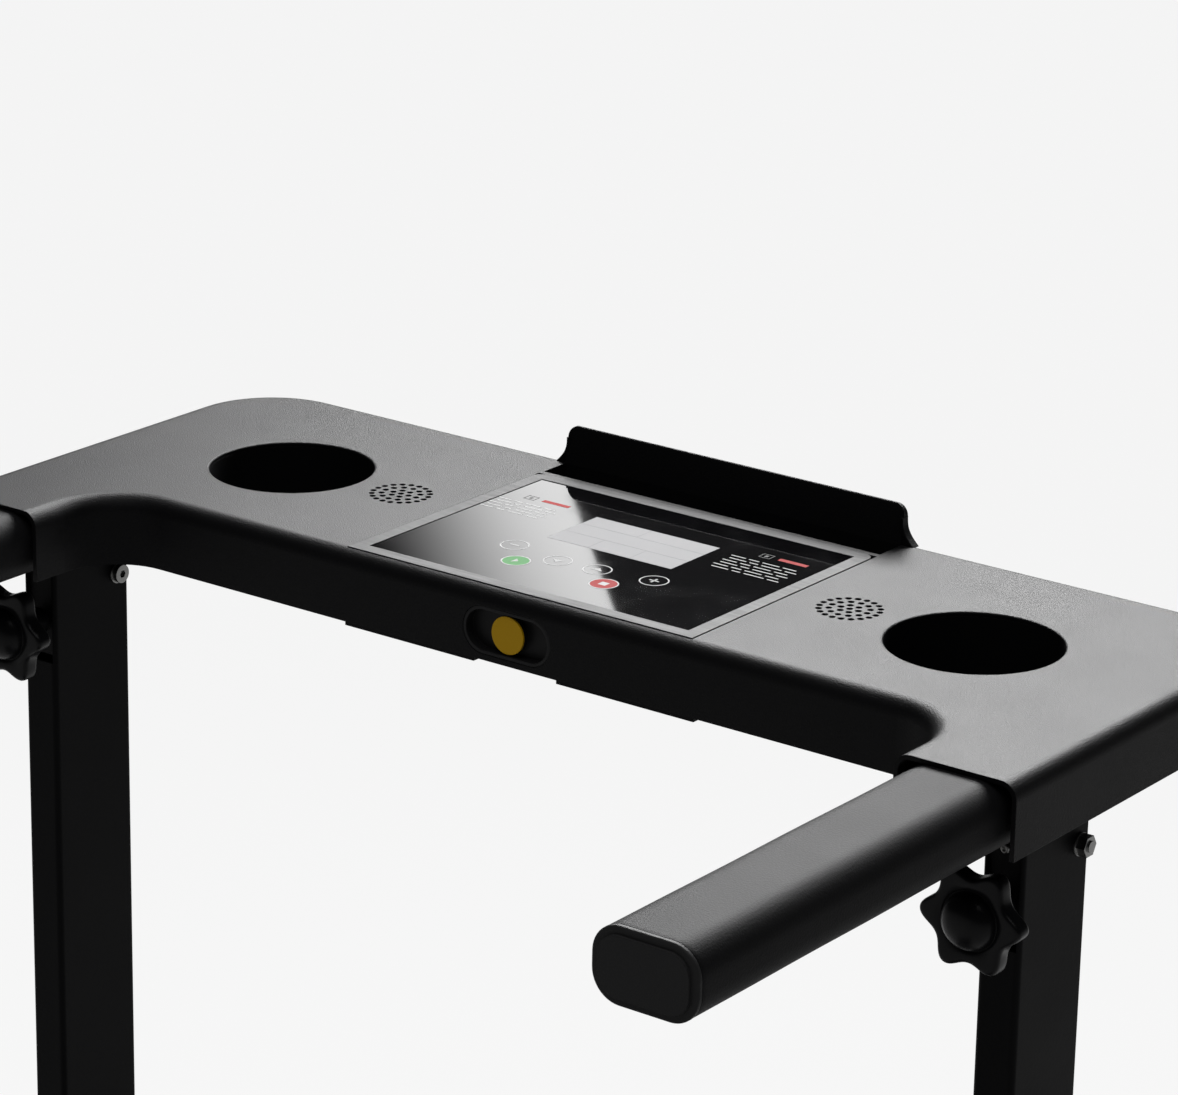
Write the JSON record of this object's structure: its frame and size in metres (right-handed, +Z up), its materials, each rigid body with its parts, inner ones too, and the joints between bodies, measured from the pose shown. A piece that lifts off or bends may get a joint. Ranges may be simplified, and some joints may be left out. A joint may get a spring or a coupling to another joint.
{
  "type": "treadmill",
  "caption": "Folding treadmill: a belt deck with a motor hood, two posts and a desk-type console with cup wells, tablet slot, touch panel and two padded handles.",
  "frame": {"origin": "on the floor, at the centre of the machine's bounding box", "axes": "+X to the user's right, +Y the way the user faces (towards the motor hood), +Z up"},
  "size_m": [0.6986, 1.36, 1.062],
  "materials": {
    "desk_plastic": "satin, fine grain",
    "black_plastic": "satin",
    "black_steel": "satin powder coat",
    "post_paint": "satin powder coat",
    "grip_foam": "soft matte foam with a fine grain",
    "cap_plastic": "fine grain",
    "bezel_grey": "satin",
    "panel_black": "polished, dark",
    "lcd": "unlit display",
    "tinned_metal": "tinned",
    "circuit_board": "solder mask",
    "speaker_black": "paper cone",
    "rubber": "matte",
    "pocket_black": "fine grain",
    "contact_yellow": "satin",
    "zinc_steel": "zinc plated",
    "knob_plastic": "moulded, semi gloss",
    "nylon": "natural nylon",
    "cable_black": "PVC sheath",
    "board": "film-faced fibreboard",
    "belt": "fine diamond weave",
    "foot_rail_plastic": "ribbed, fine grain",
    "roller_steel": "turned",
    "motor_can": "satin",
    "aluminium_sink": "extruded",
    "hood_plastic": "fine grain",
    "rocker_red": "moulded",
    "button_black": "moulded",
    "wheel_plastic": "hard rubber"
  },
  "bodies": {
    "base": {"belly_pan": "black_plastic", "board_cushions": "rubber", "controller": "aluminium_sink", "drive_belt": "rubber", "feet": "rubber", "foot_rail_left": "foot_rail_plastic", "foot_rail_right": "foot_rail_plastic", "frame_cross_tubes": "black_steel", "frame_rails": "black_steel", "hinge_bolts": "zinc_steel", "hinge_brackets": "black_steel", "inlet_panel": "black_steel", "motor": "motor_can", "motor_hood": "hood_plastic", "power_inlet": "black_plastic", "rear_caps": "black_plastic", "roller_axles": "zinc_steel", "roller_bearings": "roller_steel", "running_board": "board", "switch_body": "black_plastic", "tension_bolts": "zinc_steel", "walking_belt": "belt", "wheel_forks": "black_steel"},
    "desk": {"desk_top_shell": "desk_plastic", "desk_bottom_cover": "black_plastic", "handle_bar_left": "black_steel", "handle_bar_right": "black_steel", "handle_grip_left": "grip_foam", "handle_grip_right": "grip_foam", "handle_end_caps": "cap_plastic", "desk_cross_tubes": "black_steel", "panel_bezel": "bezel_grey", "panel_glass": "panel_black", "lcd_module": "lcd", "touch_pads": "tinned_metal", "console_board": "circuit_board", "cup_liners": "black_plastic", "speakers": "speaker_black", "tablet_rest": "desk_plastic", "slot_strip": "rubber", "key_pocket": "pocket_black", "key_contact": "contact_yellow", "reed_board": "circuit_board", "desk_screws": "zinc_steel"},
    "knob_left": {"star_knob_left": "knob_plastic"},
    "knob_right": {"star_knob_right": "knob_plastic"},
    "uprights": {"post_left": "post_paint", "post_right": "post_paint", "pivot_fasteners": "zinc_steel", "hinge_bushes": "nylon", "post_cable": "cable_black"},
    "lock_left": {"lock_knob_left": "knob_plastic"},
    "lock_right": {"lock_knob_right": "knob_plastic"},
    "roller_front": {"front_roller": "roller_steel"},
    "roller_rear": {"rear_roller": "roller_steel"},
    "rotor": {"motor_rotor": "roller_steel"},
    "rocker_switch": {"rocker": "rocker_red"},
    "breaker": {"breaker_button": "button_black"},
    "wheel_left": {"transport_wheel_left": "wheel_plastic"},
    "wheel_right": {"transport_wheel_right": "wheel_plastic"}
  },
  "joints": [
    {"name": "post_fold", "type": "hinge", "parent": "base", "child": "uprights", "pos_m": [0, 0.37, 0.1], "axis": [1, 0, 0], "range_deg": [0, 90]},
    {"name": "desk_pivot", "type": "hinge", "parent": "uprights", "child": "desk", "pos_m": [0, 0.3925, 0.9765], "axis": [1, 0, 0], "range_deg": [-90, 0]},
    {"name": "star_knob_left_turn", "type": "hinge", "parent": "desk", "child": "knob_left", "pos_m": [-0.314, 0.3205, 0.96], "axis": [0, 1, 0], "continuous": true},
    {"name": "star_knob_right_turn", "type": "hinge", "parent": "desk", "child": "knob_right", "pos_m": [0.314, 0.3205, 0.96], "axis": [0, 1, 0], "continuous": true},
    {"name": "lock_knob_left_turn", "type": "hinge", "parent": "base", "child": "lock_left", "pos_m": [-0.335, 0.378, 0.13], "axis": [1, 0, 0], "continuous": true},
    {"name": "lock_knob_right_turn", "type": "hinge", "parent": "base", "child": "lock_right", "pos_m": [0.335, 0.378, 0.13], "axis": [1, 0, 0], "continuous": true},
    {"name": "front_roller_turn", "type": "hinge", "parent": "base", "child": "roller_front", "pos_m": [0, 0.31, 0.08], "axis": [1, 0, 0], "continuous": true},
    {"name": "rear_roller_turn", "type": "hinge", "parent": "base", "child": "roller_rear", "pos_m": [0, -0.64, 0.08], "axis": [1, 0, 0], "continuous": true},
    {"name": "motor_turn", "type": "hinge", "parent": "base", "child": "rotor", "pos_m": [-0.118, 0.474, 0.09], "axis": [1, 0, 0], "continuous": true},
    {"name": "power_rocker", "type": "hinge", "parent": "base", "child": "rocker_switch", "pos_m": [0.148, 0.671, 0.066], "axis": [1, 0, 0], "range_deg": [0, 12]},
    {"name": "breaker_press", "type": "slide", "parent": "base", "child": "breaker", "axis": [0, -1, 0], "range_m": [0, 0.0025], "stiffness_N_per_m": 400},
    {"name": "wheel_left_turn", "type": "hinge", "parent": "base", "child": "wheel_left", "pos_m": [-0.15, 0.646, 0.027], "axis": [1, 0, 0], "continuous": true},
    {"name": "wheel_right_turn", "type": "hinge", "parent": "base", "child": "wheel_right", "pos_m": [0.15, 0.646, 0.027], "axis": [1, 0, 0], "continuous": true}
  ],
  "couplings": [
    {"joint": "desk_pivot", "follows": "post_fold", "ratio": -1},
    {"joint": "rear_roller_turn", "follows": "front_roller_turn", "ratio": 1},
    {"joint": "motor_turn", "follows": "front_roller_turn", "ratio": 2}
  ]
}
